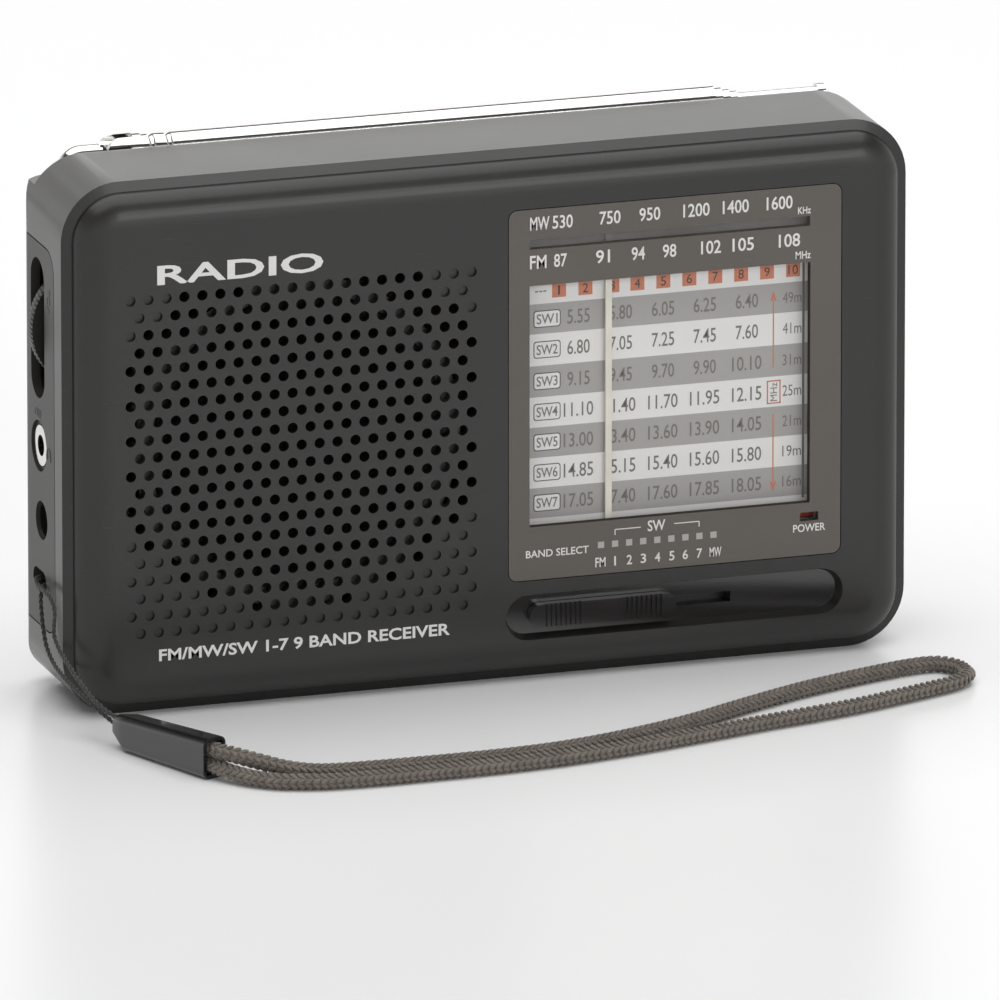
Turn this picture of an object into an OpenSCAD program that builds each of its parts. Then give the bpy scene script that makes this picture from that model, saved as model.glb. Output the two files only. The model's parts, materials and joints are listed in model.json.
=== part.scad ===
/* [Case] */
// Width of the case, left to right
body_w = 148; // [140:0.5:160]
// Height of the case
body_h = 91.8; // [88:0.1:100]
// Depth from the front plateau to the back face
body_d = 30; // [28:0.5:36]
// Corner radius of the case outline
corner_r = 10; // [9:0.5:12]
// Radius of the rounded back edges
rear_round_r = 7; // [5:0.5:8]
// Wall thickness of the rear shell
wall = 2.2; // [1.8:0.1:2.6]
// Thickness of the front plateau
front_wall = 2; // [1.6:0.1:2.4]

/* [Front pillow] */
// Width of the tilted rim next to the seam
rim_w = 1.7; // [1:0.1:2.5]
// How far the rim leans forward
rim_rise = 0.55; // [0.2:0.05:1]
// Width of the curved edge between rim and plateau
pillow_w = 6.2; // [4:0.1:7]
// Height of the curved edge
pillow_h = 3.85; // [2:0.05:5]

/* [Speaker grille] */
// Diameter of a grille hole
hole_d = 1.8; // [1.2:0.1:2.2]
// Distance between columns of holes
hole_pitch_x = 3.13; // [3:0.01:3.3]
// Distance between rows of holes
hole_pitch_z = 3.03; // [2.9:0.01:3.2]
// Centre of the grille, from the middle of the case
grille_x = -33.6; // [-36:0.1:-32]
// Height of the grille centre
grille_z = 45; // [43:0.1:47]

/* [Dial] */
// Width of the dial lens
lens_w = 58.5; // [54:0.5:60]
// Height of the dial lens
lens_h = 64.2; // [60:0.1:66]
// Centre of the dial lens, from the middle of the case
lens_x = 31.9; // [30:0.1:33]
// Height of the lens centre
lens_z = 50; // [48:0.1:52]
// Place of the pointer along the dial
pointer_x = 20.9; // [12:0.1:50]

/* [Band selector] */
// Length of the recess for the band knob
slot_w = 59.5; // [50:0.5:62]
// Height of that recess
slot_h = 7.9; // [6:0.1:9]
// Height of the recess centre
slot_z = 11.4; // [11:0.1:12]
// Length of the band knob
knob_w = 25.8; // [20:0.2:28]
// Distance the knob travels over all bands
knob_travel = 19.8; // [16:0.1:22]

/* [Wheels] */
// Radius of the volume wheel
volume_r = 11; // [10:0.1:12]
// Radius of the tuning wheel
tuning_r = 13; // [12:0.1:14]
// How far both wheels stand out of the sides
wheel_proud = 1.3; // [0.8:0.1:2]

/* [Telescopic aerial] */
// Outer diameter of the largest tube
mast_d = 5.5; // [5:0.1:6]
// Length of the largest tube
mast_l = 101.8; // [90:0.1:110]
// How far each inner tube can be pulled out
mast_pull = 85; // [60:1:88]

/* [Hidden] */

eps = 0.01;
front_y = -body_d / 2;
rear_y = body_d / 2;
seam_y = front_y + pillow_h + rim_rise;
inner_y = front_y + front_wall;
inner_rear_y = rear_y - wall;
mid_z = body_h / 2;
side_x = body_w / 2;

// Side fittings: one line along the depth, with heights up the side
side_y = 2.8;
wheel_z = 64;
wheel_t = 2.4;
wheel_slot = [7.6, 24.2];
volume_x = -side_x - wheel_proud + volume_r;
tuning_x = side_x + wheel_proud - tuning_r;
jack_at = [2.4, 43.7];
dc_at = [1.1, 31.1];
eye_at = [2.3, 20.4];
panel_t = 1.6;
panel_y = [-6.3, 12.4];
panel_z = [12.8, 78.8];

// Dial drive: cord plane, rollers and drum
cord_y = -9.7;
cord_r = 6;
drum_r = 14.2;
drum_at = [31, 60];
pulley_r = 2;
pulley_at = [[4, 82], [59.4, 82]];
cord_top = pulley_at[0][1] + pulley_r;
needle_y = [-12.9, -12.4];
plate_y = [-12, -11.2];
frame_y = [-11.2, -10.6];

// Stem behind the band knob
stem_x = [17.4, 21.4];

// Batteries, board and screws
cell_r = 7.1;
cell_l = 50;
cell_x = 12.3;
cell_y = 5.2;
cell_z = [10.6, 25.6];
bay_x = [7, 67];
bay_top = 35.8;
bay_front_y = -4.4;
door_x = [8.3, 65.7];
door_top = 34;
door_tongue = 1.2;
door_split_y = 13.8;
board_y = [8.2, 9.6];
screw_at = [[-64.6, 8.2], [-52, 82], [67.2, 82], [67.4, 41]];
screw_split_y = -6;

// Aerial: its line along the top and its turning points
mast_y = 12.3;
mast_z = body_h - 1.36;
step_z = body_h - 4.8;
step_y = 9;
post_x = -66;
hinge_x = -57;
knuckle_x = -53.4;
mast_end_x = knuckle_x + mast_l - 1;
tube_gap = 0.4;

// Blind holes at each end of a row, from the top row down; the last row is all blind
blind = [3, 2, 1, 0, 0, 0, 0, 0, 0, 0, 0, 0, 0, 0, 1, 2, 3, 4, 7, 19];

// Wrist strap: the pin it hangs on, sleeve and cord sizes
eye_x = -side_x + 3.1;
eye_pin_r = 1.35;
tie_d = 0.9;
strap_d = 2.7;
sleeve_size = [24.5, 4.8, 7];
sleeve_at = [-70, -29.1];
sleeve_turn = -67;

// Places inside the sleeve: along it, across it and up
function in_sleeve(x, z) = [sleeve_at[0] + x * cos(sleeve_turn), sleeve_at[1] + x * sin(sleeve_turn), z];
tie_turn = eye_pin_r + tie_d / 2 + 0.06;
tie_route = concat([in_sleeve(4, 3.5), in_sleeve(1.6, 3.5), in_sleeve(-0.8, 3.7)],
    [[-71.6, -25.4, 4.7], [-73.2, -22.2, 6.2], [-74.3, -17.8, 7.3], [-74.9, -13, 8.3], [-75.2, -8.9, 9.4],
    [-75.4, -5.9, 11.3], [-75.5, -4.3, 14], [-75.5, -3.5, 16.3], [-75.3, -2.4, 18.4], [-74.6, -1, 19.8],
    [-73.4, 0.1, 20.3]],
    [for (a = [0:30:180]) [eye_x + tie_turn * sin(a), eye_at[0] - tie_turn * cos(a), eye_at[1]]],
    [[-73.4, 3.8, 20.5], [-74.8, 1.8, 20.7], [-75.5, -1.4, 20.7], [-75.6, -5.2, 20.8], [-75.5, -8.6, 20.4],
    [-75.4, -10.6, 18.8], [-75.4, -10.1, 16.3], [-75.3, -10, 14.2], [-75.1, -12.6, 12.3],
    [-74.8, -16.1, 11], [-74.2, -20.4, 9.2], [-73.2, -23.9, 7.4], [-71.8, -26.3, 5.9]],
    [in_sleeve(-0.8, 4.9), in_sleeve(1.6, 4.5), in_sleeve(4, 4.5)]);
strap_route = concat([in_sleeve(18.5, 2.1), in_sleeve(22, 2.1), [-60, -52.7, 2.06], [-58.3, -55.6, 1.8],
    [-55.4, -58.9, 1.5], [-51.8, -61.4, 1.38], [-47.8, -62.8, 1.38]],
    [for (q = [[-43.9, -63.7], [-36, -64.2], [-27.5, -64.1], [-19, -63.9], [-10.6, -63.4], [-2, -62.4],
    [7, -60.7], [16, -58.6], [25.6, -56], [34.8, -53.5], [44, -51.3], [53, -48.8], [61, -45.9], [68, -43.2],
    [72.4, -41.3], [75.2, -38.9], [76.4, -36.2], [76.2, -33.2], [74.8, -30.8], [72.4, -29.6], [68, -30],
    [61, -32], [53.8, -34.5], [46.5, -37.4], [39, -41], [31, -45.2], [23.5, -49.2], [14, -53.2],
    [4, -56.4], [-6, -58.3], [-17, -59], [-28, -59], [-36, -58.8]]) [q[0], q[1], 1.38]],
    [[-42.3, -58.7, 1.5], [-46.6, -58.5, 1.9], [-50.6, -57.9, 2.7], [-54.3, -56.5, 3.7],
    [-57.6, -54.6, 4.5], [-59.9, -52.4, 4.86], in_sleeve(22, 4.9), in_sleeve(18.5, 4.9)]);

case_black = "#24211f";
gloss_black = "#141312";
chrome_tone = "#d9d8d3";

// ---------- shapes that repeat ----------

module rounded(w, h, r) {
    square([w - 2 * r, h], center = true);
    square([w, h - 2 * r], center = true);
    for (x = [-1, 1], y = [-1, 1]) translate([x * (w / 2 - r), y * (h / 2 - r)]) circle(r, $fn = 64);
}

// a flat shape drawn in X and Z, standing from depth y0 to y1
module upright(y0, y1) {
    translate([0, y1, 0]) rotate([90, 0, 0]) linear_extrude(y1 - y0) children();
}

module case_plate(inset, y0, y1) {
    upright(y0, y1) translate([0, mid_z])
        rounded(body_w - 2 * inset, body_h - 2 * inset, corner_r - inset);
}

// a rod or disc along Y
module peg(r, y0, y1, at) {
    translate([at[0], y1, at[1]]) rotate([90, 0, 0]) cylinder(r = r, h = y1 - y0, $fn = 48);
}

// a rod along X
module bar(r, x0, x1, y, z) {
    translate([x0, y, z]) rotate([0, 90, 0]) cylinder(r = r, h = x1 - x0, $fn = 48);
}

module block(x, y, z) {
    translate([x[0], y[0], z[0]]) cube([x[1] - x[0], y[1] - y[0], z[1] - z[0]]);
}

module stadium(w, h) {
    square([w - h, h], center = true);
    for (s = [-1, 1]) translate([s * (w - h) / 2, 0]) circle(h / 2, $fn = 48);
}

// section through the case with rounded back edges: along the case in x, depth in y
module back_section(half, inset, y0) {
    r = rear_round_r - inset;
    end_y = rear_y - inset;
    translate([-half, y0]) square([2 * half, end_y - r - y0]);
    translate([r - half, y0]) square([2 * (half - r), end_y - y0]);
    for (s = [-1, 1]) translate([s * (half - r), end_y - r]) circle(r, $fn = 64);
}

// case outline with rounded back edges, shrunk by inset
module soft_case(inset, y0) {
    intersection() {
        case_plate(inset, y0, rear_y - inset);
        linear_extrude(body_h) back_section(side_x - inset, inset, y0 - 1);
        translate([-side_x, 0, mid_z]) rotate([90, 0, 90]) linear_extrude(body_w)
            rotate(90) mirror([0, 1]) back_section(mid_z - inset, inset, y0 - 1);
    }
}

// distance in from the case edge, and depth, of the front's curved edge
function edge_profile() = concat([[0, seam_y]],
    [for (t = [0:7.5:90]) [rim_w + pillow_w * (1 - cos(t)), seam_y - rim_rise - pillow_h * sin(t)]]);

module edge_section(half) {
    p = edge_profile();
    polygon(concat([for (q = p) [half - q[0], q[1]]], [for (i = [len(p) - 1:-1:0]) [p[i][0] - half, p[i][1]]]));
}

module pillow() {
    p = edge_profile();
    translate([-body_w / 2 + corner_r, 0, mid_z]) rotate([90, 0, 90])
        linear_extrude(body_w - 2 * corner_r) rotate(90) mirror([0, 1]) edge_section(body_h / 2);
    translate([0, 0, corner_r]) linear_extrude(body_h - 2 * corner_r) edge_section(body_w / 2);
    for (x = [-1, 1], z = [-1, 1])
        translate([x * (body_w / 2 - corner_r), 0, mid_z + z * (body_h / 2 - corner_r)])
            rotate([90, 0, 0]) rotate_extrude($fn = 64) polygon(concat([[0, -seam_y]],
                [for (q = p) [corner_r - q[0], -q[1]]], [[0, -front_y]]));
}

// tube along points p, drawn as rings with n sides
function unit(v) = v / norm(v);
function heading(p, i) = unit(p[min(i + 1, len(p) - 1)] - p[max(i - 1, 0)]);
function ring(p, i, r, n) = let (t = heading(p, i), s = unit(cross(t, abs(t[2]) > 0.9 ? [0, 1, 0] : [0, 0, 1])),
    u = cross(s, t)) [for (k = [0:n - 1]) p[i] + r * (cos(360 * k / n) * s + sin(360 * k / n) * u)];
module tube_along(p, d, n) {
    m = len(p);
    polyhedron(points = [for (i = [0:m - 1]) each ring(p, i, d / 2, n)],
        faces = concat([[for (k = [0:n - 1]) k]], [[for (k = [n - 1:-1:0]) (m - 1) * n + k]],
            [for (i = [0:m - 2], k = [0:n - 1]) let (a = i * n + k, b = i * n + (k + 1) % n)
                each [[a, a + n, b], [b, a + n, b + n]]]));
}

// ---------- case ----------

module recess(w, h, slope, y0, y1) {
    d = y1 - y0;
    for (s = [-1, 1]) translate([lens_x + s * (w - h) / 2, y0, slot_z]) rotate([-90, 0, 0])
        cylinder(r1 = h / 2, r2 = h / 2 - slope, h = d, $fn = 64);
    translate([lens_x - (w - h) / 2, 0, slot_z]) rotate([90, 0, 90]) linear_extrude(w - h)
        polygon([[y0, -h / 2], [y0, h / 2], [y1, h / 2 - slope], [y1, slope - h / 2]]);
}

module front_cover() {
    lip = [2.4, 3.6];
    pocket_in = 6.2;
    window = [54, 60];
    color(case_black) difference() {
        union() {
            pillow();
            difference() {
                case_plate(lip[0], seam_y - eps, seam_y + 2.2);
                case_plate(lip[1], seam_y - 1, seam_y + 3);
            }
            for (at = screw_at) peg(2.9, inner_y - eps, screw_split_y, at);
        }
        difference() {
            case_plate(pocket_in, inner_y, seam_y + eps);
            for (at = screw_at) peg(2.9, inner_y - 1, seam_y + 1, at);
        }
        for (at = screw_at) peg(1.05, inner_y + 0.5, screw_split_y + 1, at);
        upright(front_y - 1, front_y + 1.4) translate([lens_x, lens_z]) rounded(lens_w + 0.3, lens_h + 0.3, 1.7);
        upright(front_y - 1, inner_y + 1) translate([lens_x, lens_z]) square(window, center = true);
        recess(slot_w, slot_h, 0.65, front_y, inner_y + 0.01);
        for (i = [0:19]) {
            n = 20 - i % 2;
            row_z = grille_z + (9 - i) * hole_pitch_z;
            for (k = [0:n - 1]) {
                hole_x = grille_x + (k - (n - 1) / 2) * hole_pitch_x;
                closed = k < blind[i] || k >= n - blind[i];
                peg(hole_d / 2, front_y - 1, closed ? front_y + 0.6 : inner_y + 1, [hole_x, row_z]);
            }
        }
    }
}

module panel_zone(grow, depth) {
    translate([side_x - depth, (panel_y[0] + panel_y[1]) / 2, (panel_z[0] + panel_z[1]) / 2])
        rotate([90, 0, 90]) linear_extrude(depth + 1)
            rounded(panel_y[1] - panel_y[0] + 2 * grow, panel_z[1] - panel_z[0] + 2 * grow, 4 + grow);
}

module shell_cavity() {
    difference() {
        soft_case(wall, seam_y - 1);
        block([-body_w, body_w], [step_y - wall, rear_y], [step_z - wall, body_h]);
    }
}

module rear_shell() {
    tower_r = 3.1;
    bay_wall = 1.2;
    color(case_black) difference() {
        union() {
            difference() {
                soft_case(0, seam_y);
                shell_cavity();
                mirror([1, 0, 0]) panel_zone(0.25, panel_t);
                panel_zone(0.25, panel_t);
            }
            for (at = screw_at) peg(tower_r, screw_split_y, inner_rear_y + eps, at);
            difference() {
                block(bay_x, [bay_front_y, inner_rear_y + eps], [wall - eps, bay_top]);
                block([bay_x[0] + bay_wall, bay_x[1] - bay_wall], [bay_front_y + bay_wall, rear_y],
                    [wall, bay_top - bay_wall]);
            }
        }
        block([-body_w, body_w], [step_y, body_d], [step_z, body_h + 1]);
        block([door_x[0] - 0.3, door_x[1] + 0.3], [door_split_y, body_d], [-1, door_top + 0.3]);
        block([door_x[0] - door_tongue, door_x[1] + door_tongue], [inner_rear_y - eps, door_split_y + eps],
            [-1, door_top + 0.3]);
        for (at = screw_at) {
            peg(1.3, screw_split_y - 1, body_d, at);
            peg(2.3, screw_split_y + 3, body_d, at);
        }
        translate([post_x, mast_y, step_z - 6]) cylinder(r = 2.15, h = 7, $fn = 48);
        side_openings(-1, 0.9);
        side_openings(1, 0.9);
    }
}

// holes through both walls of a side: s is -1 on the left, 1 on the right
module side_openings(s, grow) {
    x0 = s < 0 ? -side_x - 1 : side_x - 4;
    translate([x0, side_y, wheel_z]) rotate([90, 0, 90]) linear_extrude(5)
        rotate(90) stadium(wheel_slot[1] + 2 * grow, wheel_slot[0] + 2 * grow);
    if (s < 0) {
        bar(3.6 + grow, x0, x0 + 5, jack_at[0], jack_at[1]);
        bar(3.3 + grow, x0, x0 + 5, dc_at[0], dc_at[1]);
        translate([x0, eye_at[0], eye_at[1]]) rotate([90, 0, 90]) linear_extrude(5)
            stadium(7.4 + 2 * grow, 3.8 + 2 * grow);
    }
}

module left_panel() {
    color(case_black) difference() {
        intersection() {
            soft_case(0, seam_y);
            mirror([1, 0, 0]) panel_zone(0, panel_t - 0.05);
        }
        side_openings(-1, 0);
        bar(4.35, -side_x - 1, -side_x + 0.6, jack_at[0], jack_at[1]);
    }
}

module right_panel() {
    color(case_black) difference() {
        intersection() {
            soft_case(0, seam_y);
            panel_zone(0, panel_t - 0.05);
        }
        side_openings(1, 0);
    }
}

module battery_door() {
    grip_pitch = 1.4;
    color(case_black) difference() {
        union() {
            intersection() {
                soft_case(0, seam_y);
                block(door_x, [door_split_y - eps, body_d], [-1, door_top]);
            }
            intersection() {
                soft_case(0, seam_y);
                block([door_x[0] - door_tongue + 0.3, door_x[1] + door_tongue - 0.3],
                    [inner_rear_y + 0.1, door_split_y - 0.1], [-1, door_top]);
            }
            block(door_x, [door_split_y - 0.2, door_split_y + 0.2], [3, door_top]);
        }
        for (i = [-3:3]) block([29, 45], [rear_y - 0.4, rear_y + 1],
            [27 + i * grip_pitch, 27.7 + i * grip_pitch]);
    }
}

// ---------- dial ----------

module dial_lens() {
    color("#8b8378", 0.5) upright(front_y, front_y + 1.35) translate([lens_x, lens_z])
        rounded(lens_w, lens_h, 1.5);
}

module dial_plate() {
    color("#dcdad4") difference() {
        block([2.5, 61.3], plate_y, [20.5, 80.2]);
        block([53.6, 57.6], [plate_y[0] - 1, plate_y[1] + 1], [23.4, 25.9]);
    }
}

module dial_frame() {
    color("#e8e6df") difference() {
        union() {
            block([1.2, 62.6], frame_y, [18.4, 80.2]);
            for (at = pulley_at) block([at[0] - 3, at[0] + 3], frame_y, [80.2 - eps, cord_top]);
            for (at = pulley_at) peg(0.8, frame_y[1] - eps, cord_y + 1.3, at);
        }
        block([53, 58.2], [frame_y[0] - 1, frame_y[1] + 1], [23, 26.4]);
    }
}

module power_lamp() {
    color("#c7372b") {
        block([54.1, 57.1], [-12.6, -10], [24, 25.3]);
        for (x = [54.9, 56.1]) block([x, x + 0.4], [-10, -8.6], [24.4, 24.8]);
    }
}

module dial_pointer() {
    color("#efe6c8") {
        block([pointer_x - 0.55, pointer_x + 0.55], needle_y, [26.8, 82]);
        block([pointer_x - 2.2, pointer_x + 2.2], needle_y, [80.8, cord_top]);
        difference() {
            block([pointer_x - 2.2, pointer_x + 2.2], [needle_y[1] - eps, cord_y + 1], [80.8, cord_top + 1.2]);
            block([pointer_x - 3, pointer_x + 3], [cord_y - 0.65, cord_y + 0.65],
                [cord_top - 0.8, cord_top + 0.8]);
        }
    }
}

module cord_pulleys() {
    color("white") for (at = pulley_at) difference() {
        union() {
            peg(pulley_r - 0.3, cord_y - 0.8, cord_y + 0.8, at);
            peg(pulley_r + 0.5, cord_y - 0.8, cord_y - 0.5, at);
            peg(pulley_r + 0.5, cord_y + 0.5, cord_y + 0.8, at);
        }
        peg(0.8, cord_y - 2, cord_y + 2, at);
    }
}

// the four wheels that the dial cord runs around: place and cord radius
function cord_wheels() = [[pulley_at[0], pulley_r], [pulley_at[1], pulley_r],
    [[tuning_x, wheel_z], cord_r], [drum_at, drum_r]];

module cord_line(grow) {
    hull() for (w = cord_wheels()) translate(w[0]) circle(w[1] + grow, $fn = 64);
}

module dial_cord() {
    color("ivory") upright(cord_y - 0.25, cord_y + 0.25) difference() {
        cord_line(0.25);
        cord_line(-0.1);
    }
}

module tuning_drum() {
    color("white") difference() {
        union() {
            peg(drum_r - 0.5, cord_y - 0.7, cord_y + 0.7, drum_at);
            peg(drum_r + 0.5, cord_y - 0.8, cord_y - 0.6, drum_at);
            peg(drum_r + 0.5, cord_y + 0.6, cord_y + 0.8, drum_at);
            peg(3, cord_y + 0.7, -5, drum_at);
        }
        for (a = [0:120:240]) translate([drum_at[0], 0, drum_at[1]]) rotate([0, a, 0])
            peg(3.2, cord_y - 2, cord_y + 2, [8.4, 0]);
        peg(1.55, cord_y + 0.9, -4, drum_at);
    }
}

module tuning_capacitor() {
    half = 10;
    color("#e9e4d6") {
        block([drum_at[0] - half, drum_at[0] + half], [-4, board_y[0]],
            [drum_at[1] - half, drum_at[1] + half]);
        peg(1.5, cord_y + 1.1, -4 + eps, drum_at);
    }
}

// ---------- band selector ----------

module slider_track() {
    color(gloss_black) difference() {
        block([0.4, 63.4], [inner_y, inner_y + 0.8], [6.6, 16.4]);
        block([stem_x[0] - 1.2, stem_x[1] + knob_travel + 1.2], [inner_y - 1, inner_y + 2],
            [slot_z - 0.9, slot_z + 0.9]);
    }
}

module band_knob() {
    left = 6.45;
    knob_h = 4;
    rib = 0.85;
    color(gloss_black) difference() {
        union() {
            upright(front_y + 0.1, inner_y - 0.2) translate([left + knob_w / 2, slot_z]) stadium(knob_w, knob_h);
            block(stem_x, [inner_y - 0.3, -9.6], [slot_z - 0.7, slot_z + 0.7]);
        }
        for (i = [0:7], x = [left + 2.6, left + knob_w - 2.6 - 7.5 * rib])
            block([x + i * rib, x + (i + 0.5) * rib], [front_y - 1, front_y + 0.5], [slot_z - 3, slot_z + 3]);
    }
}

module band_switch() {
    gap = 1.3;
    color("silver") difference() {
        block([8, 52], [-10.8, -5], [7.2, 15.6]);
        block([stem_x[0] - gap, stem_x[1] + knob_travel + gap], [-12, -9.2], [slot_z - gap, slot_z + gap]);
    }
}

// ---------- side controls ----------

module volume_wheel() {
    at = [volume_x, wheel_z];
    color(gloss_black) difference() {
        union() {
            difference() {
                peg(volume_r, side_y - wheel_t / 2, side_y + wheel_t / 2, at);
                peg(volume_r - 2, side_y - wheel_t / 2 - 1, side_y - wheel_t / 2 + 0.6, at);
            }
            peg(3.2, side_y - 1.2, side_y + wheel_t / 2, at);
        }
        peg(1.55, side_y - 3, side_y + 3, at);
    }
}

module volume_control() {
    at = [volume_x, wheel_z];
    color("#8a6a45") {
        peg(7, side_y + wheel_t / 2 + 0.5, board_y[0], at);
        peg(1.5, side_y - 1.2, side_y + wheel_t / 2 + 0.6, at);
        for (z = [-4, 0, 4]) block([volume_x + 6.5, volume_x + 9], [board_y[0] - 1, board_y[0]],
            [wheel_z + z - 0.5, wheel_z + z + 0.5]);
    }
}

module tuning_wheel() {
    at = [tuning_x, wheel_z];
    color(gloss_black) difference() {
        union() {
            peg(tuning_r, side_y - wheel_t / 2, side_y + wheel_t / 2, at);
            peg(cord_r - 0.5, cord_y - 0.75, side_y - wheel_t / 2 + eps, at);
            peg(cord_r + 0.8, cord_y - 0.75, cord_y - 0.5, at);
            peg(cord_r + 0.8, cord_y + 0.5, cord_y + 1, at);
        }
        peg(1.55, cord_y - 2, side_y + 3, at);
    }
}

module tuning_spindle() {
    color("silver") peg(1.5, cord_y - 0.6, board_y[0], [tuning_x, wheel_z]);
}

module earphone_jack() {
    color(gloss_black) difference() {
        block([-side_x + 2.25, -58], [jack_at[0] - 3.9, jack_at[0] + 3.9], [jack_at[1] - 4.2, jack_at[1] + 4.2]);
        bar(1.8, -side_x, -side_x + 14, jack_at[0], jack_at[1]);
    }
}

module earphone_ring() {
    color(chrome_tone) difference() {
        bar(3.45, -side_x + 0.35, -side_x + 2.25, jack_at[0], jack_at[1]);
        bar(1.8, -side_x - 1, -side_x + 4, jack_at[0], jack_at[1]);
    }
}

module dc_jack() {
    color(gloss_black) {
        difference() {
            union() {
                block([-side_x + 2.6, -59], [dc_at[0] - 4.2, dc_at[0] + 4.2], [dc_at[1] - 4.6, dc_at[1] + 4.6]);
                bar(3.15, -side_x + 0.6, -side_x + 2.7, dc_at[0], dc_at[1]);
            }
            bar(2.75, -side_x, -side_x + 11, dc_at[0], dc_at[1]);
        }
        bar(1, -side_x + 2.4, -side_x + 11.1, dc_at[0], dc_at[1]);
    }
}

module strap_pin() {
    color(case_black) difference() {
        block([-side_x + 2.3, -side_x + 6.7], [eye_at[0] - 4.6, eye_at[0] + 4.6],
            [eye_at[1] - 3, eye_at[1] + 3]);
        block([-side_x + 1, -side_x + 5.7], [eye_at[0] - 3.4, eye_at[0] + 3.4],
            [eye_at[1] - 1.8, eye_at[1] + 1.8]);
    }
    color(case_black) translate([eye_x, eye_at[0], eye_at[1] - 1.85])
        cylinder(r = eye_pin_r, h = 3.7, $fn = 32);
}

// ---------- inside ----------

module main_board() {
    color("#b98b4e") difference() {
        block([-71, 70.6], board_y, [3, 84]);
        block([bay_x[0] - 0.5, 80], [0, 20], [0, bay_top + 0.5]);
        for (at = screw_at) peg(3.6, 0, 20, at);
        block([-72, -61], [0, 20], [79.5, 90]);
        for (x = [-71, 70.6], z = [3, 84]) translate([x, 0, z]) rotate([0, 45, 0])
            cube([12, 40, 12], center = true);
    }
}

module speaker_basket() {
    cone_y = 1.2;
    color("#8f9496") translate([grille_x, 0, grille_z]) rotate([90, 0, 0]) difference() {
        rotate_extrude($fn = 96) polygon([[28.4, 12.9], [28.4, 11.4], [25, 11.4], [15.6, cone_y], [6, cone_y],
            [6, cone_y + 0.8], [15.2, cone_y + 0.8], [24.4, 12.2], [25.6, 12.9]]);
        for (a = [45:90:315]) rotate(a) translate([17.8, 0, 6]) rotate([0, 40, 0])
            cube([4, 14, 9], center = true);
    }
}

module speaker_cone() {
    color("#3a3733") translate([grille_x, 0, grille_z]) rotate([90, 0, 0])
        rotate_extrude($fn = 96) polygon([[25.2, 12.8], [24.2, 12.4], [8, 4.2], [0, 6.4], [0, 6.9], [8, 4.8],
            [23.8, 12.8], [25.2, 12.9]]);
}

module speaker_magnet() {
    color("#55565a") {
        peg(15, -1.2, 3.6, [grille_x, grille_z]);
        peg(5.6, -2.8, -1.2 + eps, [grille_x, grille_z]);
    }
}

module speaker_leads() {
    color("firebrick") for (s = [0, 1]) tube_along([[grille_x + 22, -6, 66 - s * 2.4],
        [grille_x + 23.5, -2, 66.4 - s * 2.4], [grille_x + 24.4, 2, 67 - s * 2.4],
        [grille_x + 25, 5.4, 67.4 - s * 2.4], [grille_x + 25, 8.1, 67.5 - s * 2.4]], 1.1, 8);
}

module ferrite_rod() {
    color("#3b3b3d") bar(4, -40, 46, 1, 79);
}

module ferrite_coil() {
    color("#b4692c") difference() {
        bar(4.9, 12, 34, 1, 79);
        bar(4.05, 10, 36, 1, 79);
    }
}

module if_cans() {
    can = 7.4;
    color("silver") for (at = [[2, 44], [11, 44], [2, 53.5], [11, 53.5], [46, 41.5], [55, 39]])
        block([at[0], at[0] + can], [board_y[0] - 9.5, board_y[0]], [at[1], at[1] + can]);
}

module electrolytics() {
    color("#23324f") {
        for (at = [[5, 66], [12.4, 66], [5.6, 40]]) peg(3, board_y[0] - 9, board_y[0], at);
        peg(4.1, board_y[0] - 10, board_y[0], [-52, 17]);
    }
}

module battery(z) {
    color("#6d6f73") {
        bar(cell_r, cell_x, cell_x + cell_l, cell_y, z);
        bar(2.7, cell_x + cell_l - eps, cell_x + cell_l + 1, cell_y, z);
    }
}

module battery_1() {
    battery(cell_z[0]);
}

module battery_2() {
    battery(cell_z[1]);
}

module battery_contacts() {
    color("silver") for (z = cell_z) {
        block([65.2, 65.7], [0, 10.4], [z - 5.5, z + 5.5]);
        block([64.2, 65.3], [cell_y - 2, cell_y + 2], [z - 2, z + 2]);
        block([8.3, 8.8], [0, 10.4], [z - 5.5, z + 5.5]);
        for (i = [0:3]) bar(4.6 - 0.8 * i, 8.8 - eps + 0.75 * i, 8.8 + 0.75 * (i + 1), cell_y, z);
    }
}

module case_screws() {
    head_y = screw_split_y + 3;
    color("silver") for (at = screw_at) difference() {
        union() {
            peg(2.1, head_y + 0.05, head_y + 1.7, at);
            peg(0.95, inner_y + 1.5, head_y + 0.1, at);
        }
        for (a = [0, 90]) translate([at[0], head_y + 1.4, at[1]]) rotate([0, a, 0])
            cube([2.6, 1, 0.5], center = true);
    }
}

// ---------- aerial ----------

module aerial_bushing() {
    color("#b9a36a") difference() {
        translate([post_x, mast_y, step_z - 6]) cylinder(r = 2.1, h = 6, $fn = 48);
        translate([post_x, mast_y, step_z - 7]) cylinder(r = 1.75, h = 8, $fn = 48);
    }
}

module aerial_swivel() {
    bend = 2.5;
    rod = 1.7;
    color(chrome_tone) {
        translate([post_x, mast_y, step_z - 5.6]) cylinder(r = rod, h = mast_z - bend - step_z + 5.6 + eps, $fn = 48);
        translate([post_x, mast_y, step_z + 0.1]) cylinder(r = 2.3, h = 0.6, $fn = 48);
        translate([post_x + bend, mast_y, mast_z - bend]) rotate([90, 0, 0]) rotate([0, 0, 90])
            rotate_extrude(angle = 90, $fn = 64) translate([bend, 0]) circle(rod, $fn = 48);
        difference() {
            union() {
                bar(rod, post_x + bend - eps, hinge_x - 3, mast_y, mast_z);
                block([hinge_x - 3.4, hinge_x], [mast_y - 1.1, mast_y + 1.1], [mast_z - rod, mast_z + rod]);
                peg(rod, mast_y - 1.1, mast_y + 1.1, [hinge_x, mast_z]);
            }
            peg(0.75, mast_y - 3, mast_y + 3, [hinge_x, mast_z]);
        }
    }
}

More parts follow.
